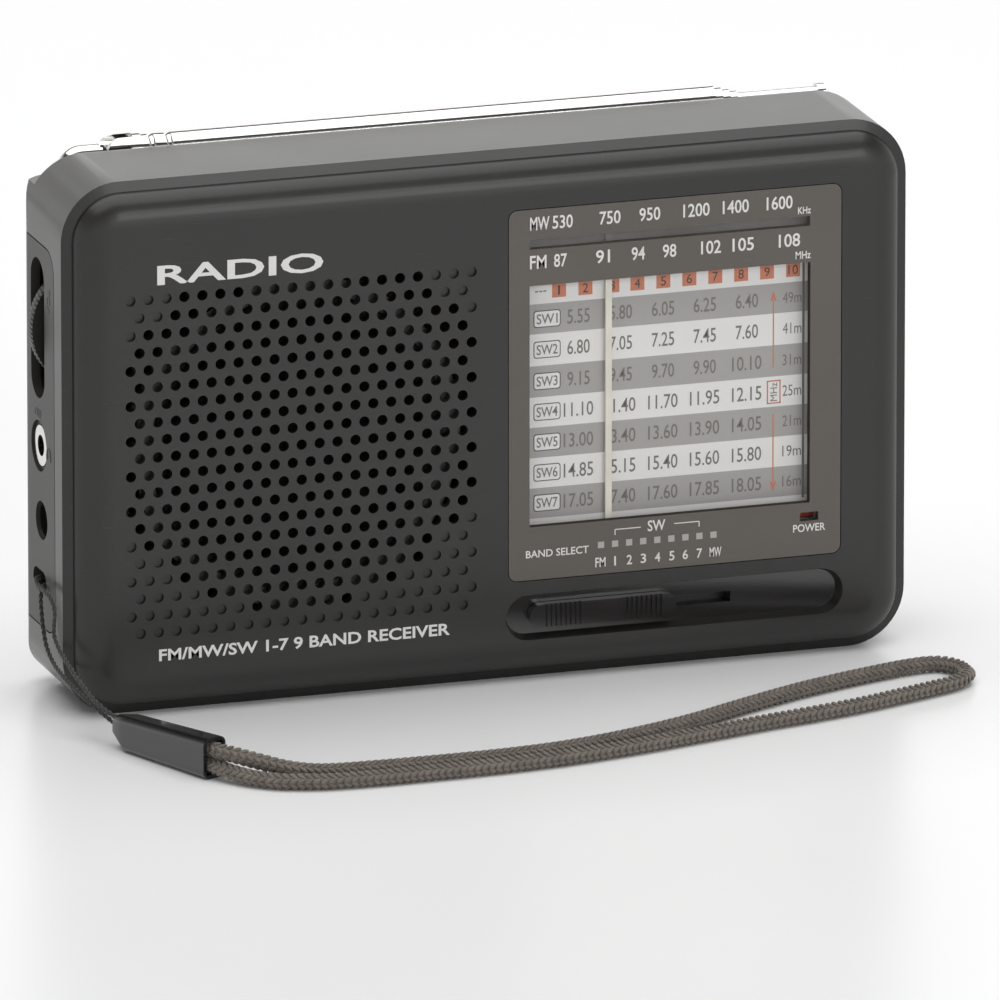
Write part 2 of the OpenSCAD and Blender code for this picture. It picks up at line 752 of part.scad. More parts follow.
module aerial_pin() {
    color(chrome_tone) peg(0.75, mast_y - 2.5, mast_y + 2.5, [hinge_x, mast_z]);
}

module aerial_knuckle() {
    r = 2.7;
    color(chrome_tone) difference() {
        union() {
            bar(3, hinge_x + 1.6, knuckle_x, mast_y, mast_z);
            intersection() {
                peg(r, mast_y - 2.6, mast_y + 2.6, [hinge_x, mast_z]);
                bar(3, hinge_x - 3, hinge_x + 3, mast_y, mast_z);
            }
            intersection() {
                block([hinge_x, hinge_x + 2], [mast_y - 2.6, mast_y + 2.6], [mast_z - r, mast_z + r]);
                bar(3, hinge_x - 3, hinge_x + 3, mast_y, mast_z);
            }
        }
        block([hinge_x - 5, hinge_x + 2.2], [mast_y - 1.25, mast_y + 1.25], [mast_z - 5, mast_z + 5]);
        peg(0.79, mast_y - 5, mast_y + 5, [hinge_x, mast_z]);
    }
}

// one of the inner tubes; at full pull it keeps 8 mm inside the tube around it
function pull_start(level) = mast_end_x - mast_pull - 8 + 1.4 * (level - 1);
module sleeve_tube(level) {
    r = mast_d / 2 - level * tube_gap;
    x0 = pull_start(level);
    x1 = mast_end_x + 1.4 * level;
    color(chrome_tone) difference() {
        bar(r, x0, x1, mast_y, mast_z);
        bar(r - tube_gap + 0.1, x0 + 1, x1 + 1, mast_y, mast_z);
    }
}

module aerial_tube_1() {
    groove = 0.25;
    r = mast_d / 2;
    color(chrome_tone) difference() {
        bar(r, knuckle_x, mast_end_x, mast_y, mast_z);
        bar(r - tube_gap + 0.1, knuckle_x + 5.6, mast_end_x + 1, mast_y, mast_z);
        for (x = [knuckle_x + 1.8, knuckle_x + 4.8]) translate([x, mast_y, mast_z]) rotate([0, 90, 0])
            rotate_extrude($fn = 48) translate([r + 0.5, 0]) circle(0.5 + groove, $fn = 24);
    }
}

module aerial_tube_2() {
    sleeve_tube(1);
}

module aerial_tube_3() {
    sleeve_tube(2);
}

module aerial_tube_4() {
    sleeve_tube(3);
}

module aerial_rod() {
    r = mast_d / 2 - 4 * tube_gap;
    tip_x = mast_end_x + 18.4;
    color(chrome_tone) {
        bar(r, pull_start(4), tip_x, mast_y, mast_z);
        bar(1.6, tip_x - eps, tip_x + 1.4, mast_y, mast_z);
    }
}

// ---------- wrist strap ----------

module tie_cord() {
    color("#1b1a19") tube_along(tie_route, tie_d, 8);
}

module strap_sleeve() {
    l = sleeve_size[0];
    w = sleeve_size[1];
    h = sleeve_size[2];
    color(gloss_black) translate([sleeve_at[0], sleeve_at[1], 0]) rotate([0, 0, sleeve_turn]) difference() {
        hull() {
            translate([l - 0.5, 0, h / 2 + 0.02]) rotate([0, 90, 0]) linear_extrude(0.5) rounded(h, w, 1.3);
            translate([3.4, 0, h / 2 - 0.4]) rotate([0, 90, 0]) linear_extrude(1) rounded(h - 0.9, w - 0.4, 1.3);
            translate([0, 0, h / 2 + 0.2]) rotate([0, 90, 0]) linear_extrude(0.4) rounded(h - 3.4, w - 2, 1.2);
        }
        translate([-1, -0.6, 3]) cube([5, 1.2, 2]);
        translate([l - 6, -1.7, 0.7]) cube([7, 3.4, h - 1.4]);
    }
}

module strap_cord() {
    color("#6b6258") tube_along(strap_route, strap_d, 8);
}

front_cover();
rear_shell();
left_panel();
right_panel();
dial_lens();
dial_plate();
dial_frame();
slider_track();
power_lamp();
main_board();
speaker_basket();
speaker_cone();
speaker_magnet();
speaker_leads();
ferrite_rod();
ferrite_coil();
if_cans();
electrolytics();
tuning_capacitor();
volume_control();
tuning_spindle();
band_switch();
earphone_jack();
earphone_ring();
dc_jack();
battery_1();
battery_2();
battery_contacts();
case_screws();
cord_pulleys();
dial_cord();
aerial_bushing();
strap_pin();
volume_wheel();
tuning_wheel();
tuning_drum();
dial_pointer();
band_knob();
battery_door();
aerial_swivel();
aerial_pin();
aerial_knuckle();
aerial_tube_1();
aerial_tube_2();
aerial_tube_3();
aerial_tube_4();
aerial_rod();
tie_cord();
strap_sleeve();
strap_cord();
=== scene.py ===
import json
import math
import bmesh
import bpy
from mathutils import Matrix, Vector

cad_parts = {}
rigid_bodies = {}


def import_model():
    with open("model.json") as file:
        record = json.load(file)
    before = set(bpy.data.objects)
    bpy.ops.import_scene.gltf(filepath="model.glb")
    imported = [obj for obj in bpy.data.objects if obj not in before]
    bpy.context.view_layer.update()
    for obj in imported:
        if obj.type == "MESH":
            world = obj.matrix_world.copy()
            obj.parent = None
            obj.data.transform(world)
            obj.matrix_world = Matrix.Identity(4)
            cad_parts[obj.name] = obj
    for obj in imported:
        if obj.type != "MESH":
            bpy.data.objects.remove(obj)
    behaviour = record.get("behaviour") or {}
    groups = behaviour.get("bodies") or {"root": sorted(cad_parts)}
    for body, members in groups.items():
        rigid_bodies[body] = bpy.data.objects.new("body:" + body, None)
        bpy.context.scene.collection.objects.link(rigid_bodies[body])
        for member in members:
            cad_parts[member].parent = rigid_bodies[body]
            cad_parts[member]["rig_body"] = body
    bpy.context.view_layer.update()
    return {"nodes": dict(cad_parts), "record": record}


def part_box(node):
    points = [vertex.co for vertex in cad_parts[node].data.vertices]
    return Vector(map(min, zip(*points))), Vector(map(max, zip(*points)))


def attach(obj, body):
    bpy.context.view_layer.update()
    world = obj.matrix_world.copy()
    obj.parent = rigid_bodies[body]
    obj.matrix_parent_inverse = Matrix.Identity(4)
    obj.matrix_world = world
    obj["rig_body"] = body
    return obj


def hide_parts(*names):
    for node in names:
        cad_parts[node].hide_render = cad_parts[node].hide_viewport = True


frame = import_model()
nodes = frame["nodes"]
mm = 0.001


# Camera

camera = {"turn": 18.05, "rise": 16, "target": (1.10, -15, 32.34), "away": 4.0, "lens": 862.4, "far": 50}


def addCamera():
    turn = math.radians(camera["turn"])
    rise = math.radians(camera["rise"])
    back = Vector((-math.sin(turn) * math.cos(rise), -math.cos(turn) * math.cos(rise), math.sin(rise)))
    data = bpy.data.cameras.new("camera")
    data.lens = camera["lens"]
    data.clip_end = camera["far"]
    eye = bpy.data.objects.new("camera", data)
    eye.location = Vector(camera["target"]) * mm + back * camera["away"]
    eye.rotation_euler = back.to_track_quat("Z", "Y").to_euler()
    bpy.context.scene.collection.objects.link(eye)
    bpy.context.scene.camera = eye


addCamera()
print("camera")


# Shader maths

def feed(tree, slot, value):  # a link from a Value, or else a plain value
    if isinstance(value, Value):
        tree.links.new(value.socket, slot)
    else:
        slot.default_value = value


def addNode(tree, kind, settings, values, output=0):  # its settings first, then its sockets
    node = tree.nodes.new("ShaderNode" + kind)
    for name, setting in settings.items():
        setattr(node, name, setting)
    for key, value in values.items():
        feed(tree, node.inputs[key], value)
    return Value(tree, node.outputs[output])


class Value:  # a socket that takes part in sums
    def __init__(self, tree, socket):
        self.tree = tree
        self.socket = socket

    def math(self, kind, other):
        return addNode(self.tree, "Math", {"operation": kind}, {0: self, 1: other})

    def __add__(self, other):
        return self.math("ADD", other)

    def __mul__(self, other):
        return self.math("MULTIPLY", other)

    def __rsub__(self, other):
        return addNode(self.tree, "Math", {"operation": "SUBTRACT"}, {0: other, 1: self})

    __radd__ = __add__
    __rmul__ = __mul__

    def over(self, low, high):  # 0 at low, 1 at high
        return addNode(self.tree, "MapRange", {}, {0: self, 1: low, 2: high})

    def within(self, low, high):  # 1 between low and high
        return self.math("GREATER_THAN", low) * self.math("LESS_THAN", high)


class Finish:  # one material under construction
    def __init__(self, name, **constants):
        self.material = bpy.data.materials.new(name)
        self.material.use_nodes = True
        self.tree = self.material.node_tree
        self.shader = self.tree.nodes["Principled BSDF"]
        self.set(**constants)

    def set(self, **values):
        for name, value in values.items():
            feed(self.tree, self.shader.inputs[name.replace("_", " ")], value)

    def place(self, stretch=(1, 1, 1)):  # the place on the object in millimetres, stretched
        at = addNode(self.tree, "TexCoord", {}, {}, "Object")
        return addNode(self.tree, "Mapping", {}, {"Vector": at, "Scale": tuple(s / mm for s in stretch)})

    def noise(self, scale, detail, stretch=(1, 1, 1)):
        values = {"Vector": self.place(stretch), "Scale": scale, "Detail": float(detail)}
        return addNode(self.tree, "TexNoise", {}, values)

    def mix(self, amount, first, second):
        return addNode(self.tree, "Mix", {"data_type": "RGBA"}, {0: amount, 6: first, 7: second}, 2)

    def bump(self, height, depth):
        return addNode(self.tree, "Bump", {}, {"Height": height, "Distance": depth * mm})

    def axes(self):  # x, y and z in millimetres
        at = self.place()
        return [addNode(self.tree, "SeparateXYZ", {}, {0: at}, axis) for axis in range(3)]


def rgb(color, gain=1.0):
    return tuple(c * gain for c in color) + (1.0,)


# Materials

moulded = {"cloud": 0.07, "grain": 3.5, "scuffs": (0.66, 0.78), "dust": (0.74, 0.8), "dirt": (0.35, 0.32, 0.28)}


def plastic(name, color, rough, grain=0.012, coat=0.0):
    made = Finish(name, Coat_Weight=coat, Coat_Roughness=0.12, Specular_IOR_Level=0.5)
    cloud = made.noise(moulded["cloud"], 4)
    fine = made.noise(moulded["grain"], 2)
    scuffs = made.noise(0.9, 5, (0.25, 1, 3)).over(*moulded["scuffs"])
    dust = made.noise(7, 1).over(*moulded["dust"])
    tone = made.mix(cloud.over(0.35, 0.7), rgb(color, 0.88), rgb(color, 1.14))
    made.set(Base_Color=made.mix(scuffs * 0.05 + dust * 0.05, tone, rgb(moulded["dirt"])))
    made.set(Roughness=cloud * 0.08 + scuffs * 0.06 + fine * 0.05 + (rough - 0.09))
    made.set(Normal=made.bump(fine, grain))
    return made.material


def metal(name, color, rough, brush=(1, 1, 1), depth=0.002):
    made = Finish(name, Metallic=1.0)
    lines = made.noise(2.2, 4, brush)
    cloud = made.noise(0.12, 4)
    made.set(Base_Color=made.mix(cloud, rgb(color, 0.88), rgb(color, 1.04)))
    made.set(Roughness=lines * 0.08 + cloud * 0.06 + (rough - 0.07))
    made.set(Normal=made.bump(lines, depth))
    return made.material


def paper(name, color):
    made = Finish(name)
    pulp = made.noise(1.4, 6)
    made.set(Base_Color=made.mix(pulp, rgb(color, 0.7), rgb(color, 1.3)))
    made.set(Roughness=pulp * 0.2 + 0.7)
    made.set(Normal=made.bump(pulp, 0.05))
    return made.material


def thread(name, color):
    made = Finish(name, Sheen_Weight=0.3)
    fibre = made.noise(6, 3)
    tone = made.noise(0.35, 3)
    shade = made.mix(tone.over(0.3, 0.7), rgb(color, 0.75), rgb(color, 1.2))
    made.set(Base_Color=made.mix(fibre.over(0.45, 0.8) * 0.5, shade, rgb(color, 2.2)))
    made.set(Roughness=fibre * 0.25 + 0.5)
    made.set(Normal=made.bump(fibre, 0.05))
    return made.material


def ink(name, color):
    made = Finish(name)
    wear = made.noise(5, 3)
    made.set(Base_Color=made.mix(wear, rgb(color, 0.86), rgb(color, 1.08)))
    made.set(Roughness=wear * 0.2 + 0.4)
    made.set(Normal=made.bump(wear, 0.004))
    return made.material


lens = {  # each clear place is left, right, bottom, top
    "tint": (0.075, 0.064, 0.053), "window": (6.3, 55.7, 27.1, 68.9), "bar": (6.3, 55.6, 75.2, 76.9),
    "lamp": (54.0, 57.2, 23.9, 25.4), "cleared": 0.97, "barTint": 0.25,
}


def lensPlastic(name):
    made = Finish(name, Coat_Weight=0.35, Coat_Roughness=0.1)
    x, y, z = made.axes()

    def place(left, right, low, high):
        return x.within(left, right) * z.within(low, high)

    bar = place(*lens["bar"])
    clear = place(*lens["window"]) + bar + place(*lens["lamp"])
    cloud = made.noise(0.05, 4)
    fine = made.noise(4, 2)
    scratches = made.noise(0.6, 6, (0.15, 1, 4)).over(0.62, 0.75)
    made.set(Base_Color=made.mix(cloud, rgb(lens["tint"], 0.85), rgb(lens["tint"], 1.2)))
    made.set(Roughness=cloud * 0.08 + scratches * 0.1 + 0.3)
    made.set(Alpha=(1 - clear * lens["cleared"]) + bar * lens["barTint"])
    made.set(Normal=made.bump(fine, 0.003))
    return made.material


def lampPlastic(name):
    made = Finish(name, Transmission_Weight=0.2, Coat_Weight=0.5)
    swirl = made.noise(0.8, 3)
    made.set(Base_Color=made.mix(swirl, rgb((0.35, 0.03, 0.02)), rgb((0.6, 0.06, 0.04))))
    made.set(Roughness=swirl * 0.1 + 0.15)
    made.set(Normal=made.bump(swirl, 0.01))
    return made.material


finishes = {
    "front_black": plastic("front_black", (0.012, 0.011, 0.010), 0.4, 0.01, coat=0.1),
    "shell_black": plastic("shell_black", (0.032, 0.03, 0.027), 0.36, coat=0.15),
    "side_black": plastic("side_black", (0.028, 0.026, 0.024), 0.45, 0.02),
    "dial_lens": lensPlastic("dial_lens"),
    "dial_print": plastic("dial_print", (0.82, 0.81, 0.79), 0.5, 0.003),
    "ivory_plastic": plastic("ivory_plastic", (0.82, 0.79, 0.7), 0.4, 0.01),
    "gloss_black": plastic("gloss_black", (0.012, 0.011, 0.011), 0.16, 0.003, coat=0.6),
    "lamp_red": lampPlastic("lamp_red"),
    "board_brown": plastic("board_brown", (0.2, 0.11, 0.05), 0.6, 0.03),
    # The steel is darkened nearly to black, and the cone paper made near-black, so the speaker seen through the
    # grille holes reads black: painted shade inside the case.
    "steel": metal("steel", (0.10, 0.10, 0.10), 0.45),
    "cone_paper": paper("cone_paper", (0.012, 0.011, 0.010)),
    "ferrite": plastic("ferrite", (0.03, 0.03, 0.034), 0.55, 0.04),
    "copper_wire": metal("copper_wire", (0.6, 0.25, 0.1), 0.3, (8, 1, 1)),
    "wire_red": plastic("wire_red", (0.4, 0.03, 0.02), 0.4),
    "can_sleeve": plastic("can_sleeve", (0.02, 0.03, 0.09), 0.25, coat=0.4),
    "cell_skin": metal("cell_skin", (0.2, 0.21, 0.22), 0.35),
    "cord_white": thread("cord_white", (0.6, 0.57, 0.48)),
    "chrome": metal("chrome", (0.78, 0.77, 0.75), 0.11, (0.3, 3, 3), 0.0008),
    "brass": metal("brass", (0.62, 0.45, 0.18), 0.3, (1, 6, 1)),
    "wheel_black": plastic("wheel_black", (0.018, 0.017, 0.016), 0.4, 0.02),
    "tie_black": thread("tie_black", (0.02, 0.018, 0.017)),
    "sleeve_black": plastic("sleeve_black", (0.008, 0.008, 0.008), 0.13, 0.002, coat=0.8),
    "strap_braid": thread("strap_braid", (0.125, 0.105, 0.088)),
}
inks = {
    "white": ink("ink_white", (0.72, 0.71, 0.69)),
    # the grey ink also paints a shadow strip down the dial plate's right edge
    "grey": ink("grey_ink_and_painted_shadow", (0.2, 0.185, 0.17)),
    "pale": ink("ink_pale", (0.41, 0.4, 0.385)),
    "paper": ink("ink_paper", (0.83, 0.82, 0.8)),
    "red": ink("ink_red", (0.62, 0.22, 0.13)),
    "dark": ink("ink_dark", (0.06, 0.055, 0.05)),
}

slots = {row["node"]: row["material_slot"] for row in frame["record"]["subparts"]}
for name, node in nodes.items():
    node.data.materials.clear()
    node.data.materials.append(finishes[slots[name]])
print("materials")


# Making pieces

def addPiece(name, mesh, body, slot, material=None, instead=()):
    piece = bpy.data.objects.new(name, mesh)
    bpy.context.scene.collection.objects.link(piece)
    mesh.materials.clear()
    mesh.materials.append(material or finishes[slot])
    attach(piece, body)
    if instead:
        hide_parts(*instead)
    return piece


def meshOf(bm, name, smooth=True):
    mesh = bpy.data.meshes.new(name)
    for face in bm.faces:
        face.smooth = smooth
    bm.to_mesh(mesh)
    bm.free()
    return mesh


def meshOfCurve(curve):
    carrier = bpy.data.objects.new(curve.name, curve)
    mesh = bpy.data.meshes.new_from_object(carrier)
    bpy.data.objects.remove(carrier)
    return mesh


def wireMesh(name, points, radius, rings=2):  # a round wire along the points
    curve = bpy.data.curves.new(name, "CURVE")
    curve.dimensions = "3D"
    curve.bevel_depth = radius
    curve.bevel_resolution = rings
    curve.use_fill_caps = True
    line = curve.splines.new("POLY")
    line.points.add(len(points) - 1)
    for knot, at in zip(line.points, points):
        knot.co = (*at, 1)
    return meshOfCurve(curve)


soften = {"merge": 0.004, "sliver": 0.002, "weight": 80}


def softCopy(name, angle):  # a smooth-shaded copy that stands for a CAD part
    source = nodes[name].data.copy()
    if "custom_normal" in source.attributes:
        source.attributes.remove(source.attributes["custom_normal"])
    bm = bmesh.new()
    bm.from_mesh(source)
    bmesh.ops.remove_doubles(bm, verts=bm.verts, dist=soften["merge"] * mm)
    bmesh.ops.dissolve_degenerate(bm, dist=soften["sliver"] * mm, edges=bm.edges)
    for edge in bm.edges:
        edge.smooth = len(edge.link_faces) == 2 and edge.calc_face_angle(0) < math.radians(angle)
    skin = name + "_skin"
    piece = addPiece(skin, meshOf(bm, skin), nodes[name]["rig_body"], slots[name], instead=[name])
    normals = piece.modifiers.new("weight", "WEIGHTED_NORMAL")
    normals.keep_sharp = True
    normals.weight = soften["weight"]
    return piece


# Cords

def lengthOf(route):
    return sum((q - p).length for p, q in zip(route, route[1:]))


def smoothRoute(points, step, parts=24):  # one smooth curve through the points, evenly spaced
    dense = []
    for i in range(len(points) - 1):
        a, b = points[i], points[i + 1]
        before = points[max(i - 1, 0)]
        after = points[min(i + 2, len(points) - 1)]
        for k in range(parts):
            t = k / parts
            bend = (b - before) * t + (2 * before - 5 * a + 4 * b - after) * t ** 2
            dense.append(a + (bend + (3 * a - before - 3 * b + after) * t ** 3) / 2)
    dense.append(points[-1])
    count = round(lengthOf(dense) / step)
    gap = lengthOf(dense) / count
    even, walked = [dense[0]], 0.0
    for p, q in zip(dense, dense[1:]):
        span = (q - p).length
        while span > 0 and walked + span >= gap * len(even) and len(even) < count:
            even.append(p.lerp(q, (gap * len(even) - walked) / span))
        walked += span
    even.append(dense[-1])
    return even


def routeFrames(route):  # at each point the place, the way ahead and two steady side directions
    side = Vector((0, 0, 1))
    frames = []
    for i, at in enumerate(route):
        ahead = (route[min(i + 1, len(route) - 1)] - route[max(i - 1, 0)]).normalized()
        side = (side - ahead * side.dot(ahead)).normalized()
        frames.append((at, ahead, side, ahead.cross(side)))
    return frames


def around(angle, side, other):
    return side * math.cos(angle) + other * math.sin(angle)


sleeve = {"at": (-70, -29.1), "turn": -67, "soft": 40}
tie = {  # its turn round the pin, and the two plies that are laid up into it
    "across": 0.9, "turn": 1.86, "pin": (-70.9, 2.3, 20.4),
    "step": 0.4, "lay": 2.1, "ply": 0.21, "thread": 0.225,
}
strap = {  # a leg is one side of a stitch: its half length, half width and half height
    "across": 2.7, "core": 1.02, "stitch": 1.25, "columns": 4, "leg": (0.98, 0.34, 0.3),
    "lean": 33, "out": 0.95, "apart": 0.42, "run": 6, "low": 1.38,
}


def inSleeve(x, z):  # x runs along the sleeve
    turn = math.radians(sleeve["turn"])
    return (sleeve["at"][0] + x * math.cos(turn), sleeve["at"][1] + x * math.sin(turn), z)


def tieRoute():
    out = [
        inSleeve(4, 3.5), inSleeve(1.6, 3.5), inSleeve(-0.8, 3.7), (-71.6, -25.4, 4.7), (-73.2, -22.2, 6.2),
        (-74.3, -17.8, 7.3), (-74.9, -13, 8.3), (-75.2, -8.9, 9.4), (-75.4, -5.9, 11.3), (-75.5, -4.3, 14),
        (-75.5, -3.5, 16.3), (-75.3, -2.4, 18.4), (-74.6, -1, 19.8), (-73.4, 0.1, 20.3),
    ]
    x, y, z = tie["pin"]
    for degrees in range(0, 181, 30):
        a = math.radians(degrees)
        out.append((x + tie["turn"] * math.sin(a), y - tie["turn"] * math.cos(a), z))
    out += [
        (-73.4, 3.8, 20.5), (-74.8, 1.8, 20.7), (-75.5, -1.4, 20.7), (-75.6, -5.2, 20.8), (-75.5, -8.6, 20.4),
        (-75.4, -10.6, 18.8), (-75.4, -10.1, 16.3), (-75.3, -10, 14.2), (-75.1, -12.6, 12.3),
        (-74.8, -16.1, 11), (-74.2, -20.4, 9.2), (-73.2, -23.9, 7.4), (-71.8, -26.3, 5.9),
        inSleeve(-0.8, 4.9), inSleeve(1.6, 4.5), inSleeve(4, 4.5),
    ]
    return [Vector(p) * mm for p in out]


def strapRoute():
    flat = [  # the stretch that lies on the table
        (-43.9, -63.7), (-36, -64.2), (-27.5, -64.1), (-19, -63.9), (-10.6, -63.4), (-2, -62.4), (7, -60.7),
        (16, -58.6), (25.6, -56), (34.8, -53.5), (44, -51.3), (53, -48.8), (61, -45.9), (68, -43.2),
        (72.4, -41.3), (75.2, -38.9), (76.4, -36.2), (76.2, -33.2), (74.8, -30.8), (72.4, -29.6), (68, -30),
        (61, -32), (53.8, -34.5), (46.5, -37.4), (39, -41), (31, -45.2), (23.5, -49.2), (14, -53.2),
        (4, -56.4), (-6, -58.3), (-17, -59), (-28, -59), (-36, -58.8),
    ]
    out = [
        inSleeve(18.5, 2.1), inSleeve(22, 2.1), (-60, -52.7, 2.06), (-58.3, -55.6, 1.8), (-55.4, -58.9, 1.5),
        (-51.8, -61.4, strap["low"]), (-47.8, -62.8, strap["low"]),
    ]
    out += [(x, y, strap["low"]) for x, y in flat]
    out += [
        (-42.3, -58.7, 1.5), (-46.6, -58.5, 1.9), (-50.6, -57.9, 2.7), (-54.3, -56.5, 3.7),
        (-57.6, -54.6, 4.5), (-59.9, -52.4, 4.86), inSleeve(22, 4.9), inSleeve(18.5, 4.9),
    ]
    return [Vector(p) * mm for p in out]


def addTie():
    route = smoothRoute(tieRoute(), tie["step"] * mm)
    bm = bmesh.new()
    for ply in (0, math.pi):
        line = []
        for i, (at, ahead, side, other) in enumerate(routeFrames(route)):
            twist = ply + math.tau * i * tie["step"] / tie["lay"]
            line.append(at + around(twist, side, other) * tie["ply"] * mm)
        bm.from_mesh(wireMesh("ply", line, tie["thread"] * mm))
    piece = addPiece("tie_thread", meshOf(bm, "tie_thread"), "case", "tie_black", instead=["tie_cord"])
    lengthOf(route)


def weaveRun(frames):  # the stitches of a short run, in columns of leaning legs
    bm = bmesh.new()
    scale = Matrix.Diagonal([size * mm for size in strap["leg"]] + [1])
    for at, ahead, side, other in frames:
        for column in range(strap["columns"]):
            out = around(math.tau * (column + 0.5) / strap["columns"], side, other)
            across = ahead.cross(out)
            for lean in (-1, 1):
                along = Matrix.Rotation(math.radians(lean * strap["lean"]), 3, out) @ ahead
                pose = Matrix((along, out.cross(along), out)).transposed().to_4x4()
                pose.translation = at + (out * strap["out"] + across * lean * strap["apart"]) * mm
                bmesh.ops.create_uvsphere(bm, u_segments=7, v_segments=5, radius=1, matrix=pose @ scale)
    return meshOf(bm, "run")


def addStrap():
    route = smoothRoute(strapRoute(), strap["stitch"] * mm)
    bm = bmesh.new()
    bm.from_mesh(wireMesh("core", route, strap["core"] * mm, 3))
    frames = routeFrames(route)[1:-1]
    for first in range(0, len(frames), strap["run"]):  # short runs, because a large bmesh is slow to add to
        bm.from_mesh(weaveRun(frames[first:first + strap["run"]]))
    piece = addPiece("strap_weave", meshOf(bm, "strap_weave"), "case", "strap_braid", instead=["strap_cord"])
    lengthOf(route)
    softCopy("strap_sleeve", sleeve["soft"])


addTie()
addStrap()
print("cords")


# The outside CAD parts, softly shaded: the angle in degrees past which an edge stays sharp

sharpAngles = {
    "front_cover": 20, "rear_shell": 20, "left_panel": 25, "right_panel": 25, "dial_lens": 30,
    "slider_track": 30, "band_knob": 25, "aerial_swivel": 30, "aerial_knuckle": 25, "aerial_tube_1": 25,
    "aerial_tube_2": 25, "aerial_tube_3": 25, "aerial_tube_4": 25, "aerial_rod": 30, "aerial_bushing": 30,
    "battery_door": 25, "earphone_ring": 25, "strap_pin": 25,
}

for name, angle in sharpAngles.items():
    softCopy(name, angle)
print("skins")


# Knurled wheels

knurl = {"ribs": 84, "proud": 0.12, "deep": 0.5, "fill": 0.5, "long": 2.2, "rim": 2.4, "soft": 0.08}


def addKnurl(node, body):  # the rim is the rearmost stretch of the node
    low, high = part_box(node)
    radius = (high.z - low.z) / 2
    middle = Vector(((low.x + high.x) / 2, high.y - knurl["rim"] / 2 * mm, (low.z + high.z) / 2))
    pitch = radius * math.tau / knurl["ribs"]
    size = Matrix.Diagonal((knurl["deep"] * mm, knurl["long"] * mm, pitch * knurl["fill"], 1))
    out = Matrix.Translation((radius + (knurl["proud"] - knurl["deep"] / 2) * mm, 0, 0))
    bm = bmesh.new()
    for i in range(knurl["ribs"]):
        turn = Matrix.Rotation(math.tau * i / knurl["ribs"], 4, "Y")
        bmesh.ops.create_cube(bm, size=1, matrix=Matrix.Translation(middle) @ turn @ out @ size)
    bmesh.ops.bevel(bm, geom=bm.edges[:], offset=knurl["soft"] * mm, segments=1, affect="EDGES",
                    profile=0.5, material=-1)
    addPiece(node + "_knurl", meshOf(bm, node + "_knurl"), body, "wheel_black")


addKnurl("volume_wheel", "volume")
addKnurl("tuning_wheel", "tuning")
print("wheels")


# Printing, and a painted shadow strip on the dial plate

letters = {"curve": 3, "extrude": 0.01, "thick": 0.015, "raised": 0.1, "lift": 0.01, "layer": 0.02}
faces = {
    "front": Matrix(((1, 0, 0, 0), (0, 0, -1, 0), (0, 1, 0, 0), (0, 0, 0, 1))),
    "left": Matrix(((0, 0, -1, 0), (-1, 0, 0, 0), (0, 1, 0, 0), (0, 0, 0, 1))),
}
sheets = {}


def put(group, mesh):
    if group not in sheets:
        sheets[group] = bmesh.new()
    sheets[group].from_mesh(mesh)


def word(group, text, at, width, cap, face="front", bold=0.0, turn=0, thick=letters["thick"]):
    curve = bpy.data.curves.new("word", "FONT")
    curve.body = text
    curve.resolution_u = letters["curve"]
    curve.offset = bold
    curve.extrude = letters["extrude"]
    mesh = meshOfCurve(curve)
    low = [min(v.co[i] for v in mesh.vertices) for i in range(3)]
    high = [max(v.co[i] for v in mesh.vertices) for i in range(3)]
    sizes = (width / (high[0] - low[0]), cap / (high[1] - low[1]), thick / (2 * letters["extrude"]))
    fit = Matrix.Diagonal([size * mm for size in sizes] + [1])
    middle = Matrix.Translation([-(a + b) / 2 for a, b in zip(low, high)])
    spin = Matrix.Rotation(math.radians(turn), 4, "Z")
    mesh.transform(Matrix.Translation(Vector(at) * mm) @ faces[face] @ spin @ fit @ middle)
    put(group, mesh)


def patch(group, at, size, face="front", thick=letters["thick"], corner=0.0):
    bm = bmesh.new()
    bmesh.ops.create_cube(bm, size=1, matrix=Matrix.Diagonal((size[0] * mm, size[1] * mm, thick * mm, 1)))
    if corner:
        upright = [e for e in bm.edges if e.verts[0].co.z * e.verts[1].co.z < 0]
        bmesh.ops.bevel(bm, geom=upright, offset=corner * mm, segments=4, affect="EDGES",
                        profile=0.5, material=-1)
    mesh = meshOf(bm, "patch", False)
    mesh.transform(Matrix.Translation(Vector(at) * mm) @ faces[face])
    put(group, mesh)


def outline(group, at, size, line):
    x, y, z = at
    wide, high = size
    for sign in (-1, 1):
        patch(group, (x, y, z + sign * (high - line) / 2), (wide, line))
        patch(group, (x + sign * (wide - line) / 2, y, z), (line, high))


lensWords = {  # height of each line: letter height, then text, middle and width
    79.62: (2.3, [("MW", 8.07, 3.4), ("530", 12.08, 3.56), ("750", 20.39, 3.7), ("950", 27.38, 3.67),
                  ("1200", 35.58, 4.65), ("1400", 42.51, 4.6), ("1600", 50.23, 4.57)]),
    77.97: (1.2, [("KHz", 54.62, 2.26)]),
    72.97: (2.3, [("FM", 7.8, 2.89), ("87", 11.7, 2.28), ("91", 19.16, 2.46), ("94", 25.36, 2.35),
                  ("98", 30.86, 2.38), ("102", 38.16, 3.5), ("105", 43.83, 3.77), ("108", 51.98, 3.76)]),
    70.24: (1.3, [("MHz", 54.41, 2.66)]),
    25.5: (1.9, [("SW", 28.65, 3.1)]),
    22.4: (1.3, [("BAND SELECT", 11.18, 11.05)]),
    22.7: (1.35, [("POWER", 55.65, 5.7)]),
    19.95: (1.65, [("FM", 18.78, 1.8), ("1", 21.35, 0.3), ("2", 23.88, 0.95), ("3", 26.35, 0.95),
                   ("4", 28.85, 0.95), ("5", 31.37, 0.95), ("6", 33.75, 0.95), ("7", 36.24, 0.95),
                   ("MW", 39.08, 2.1)]),
}
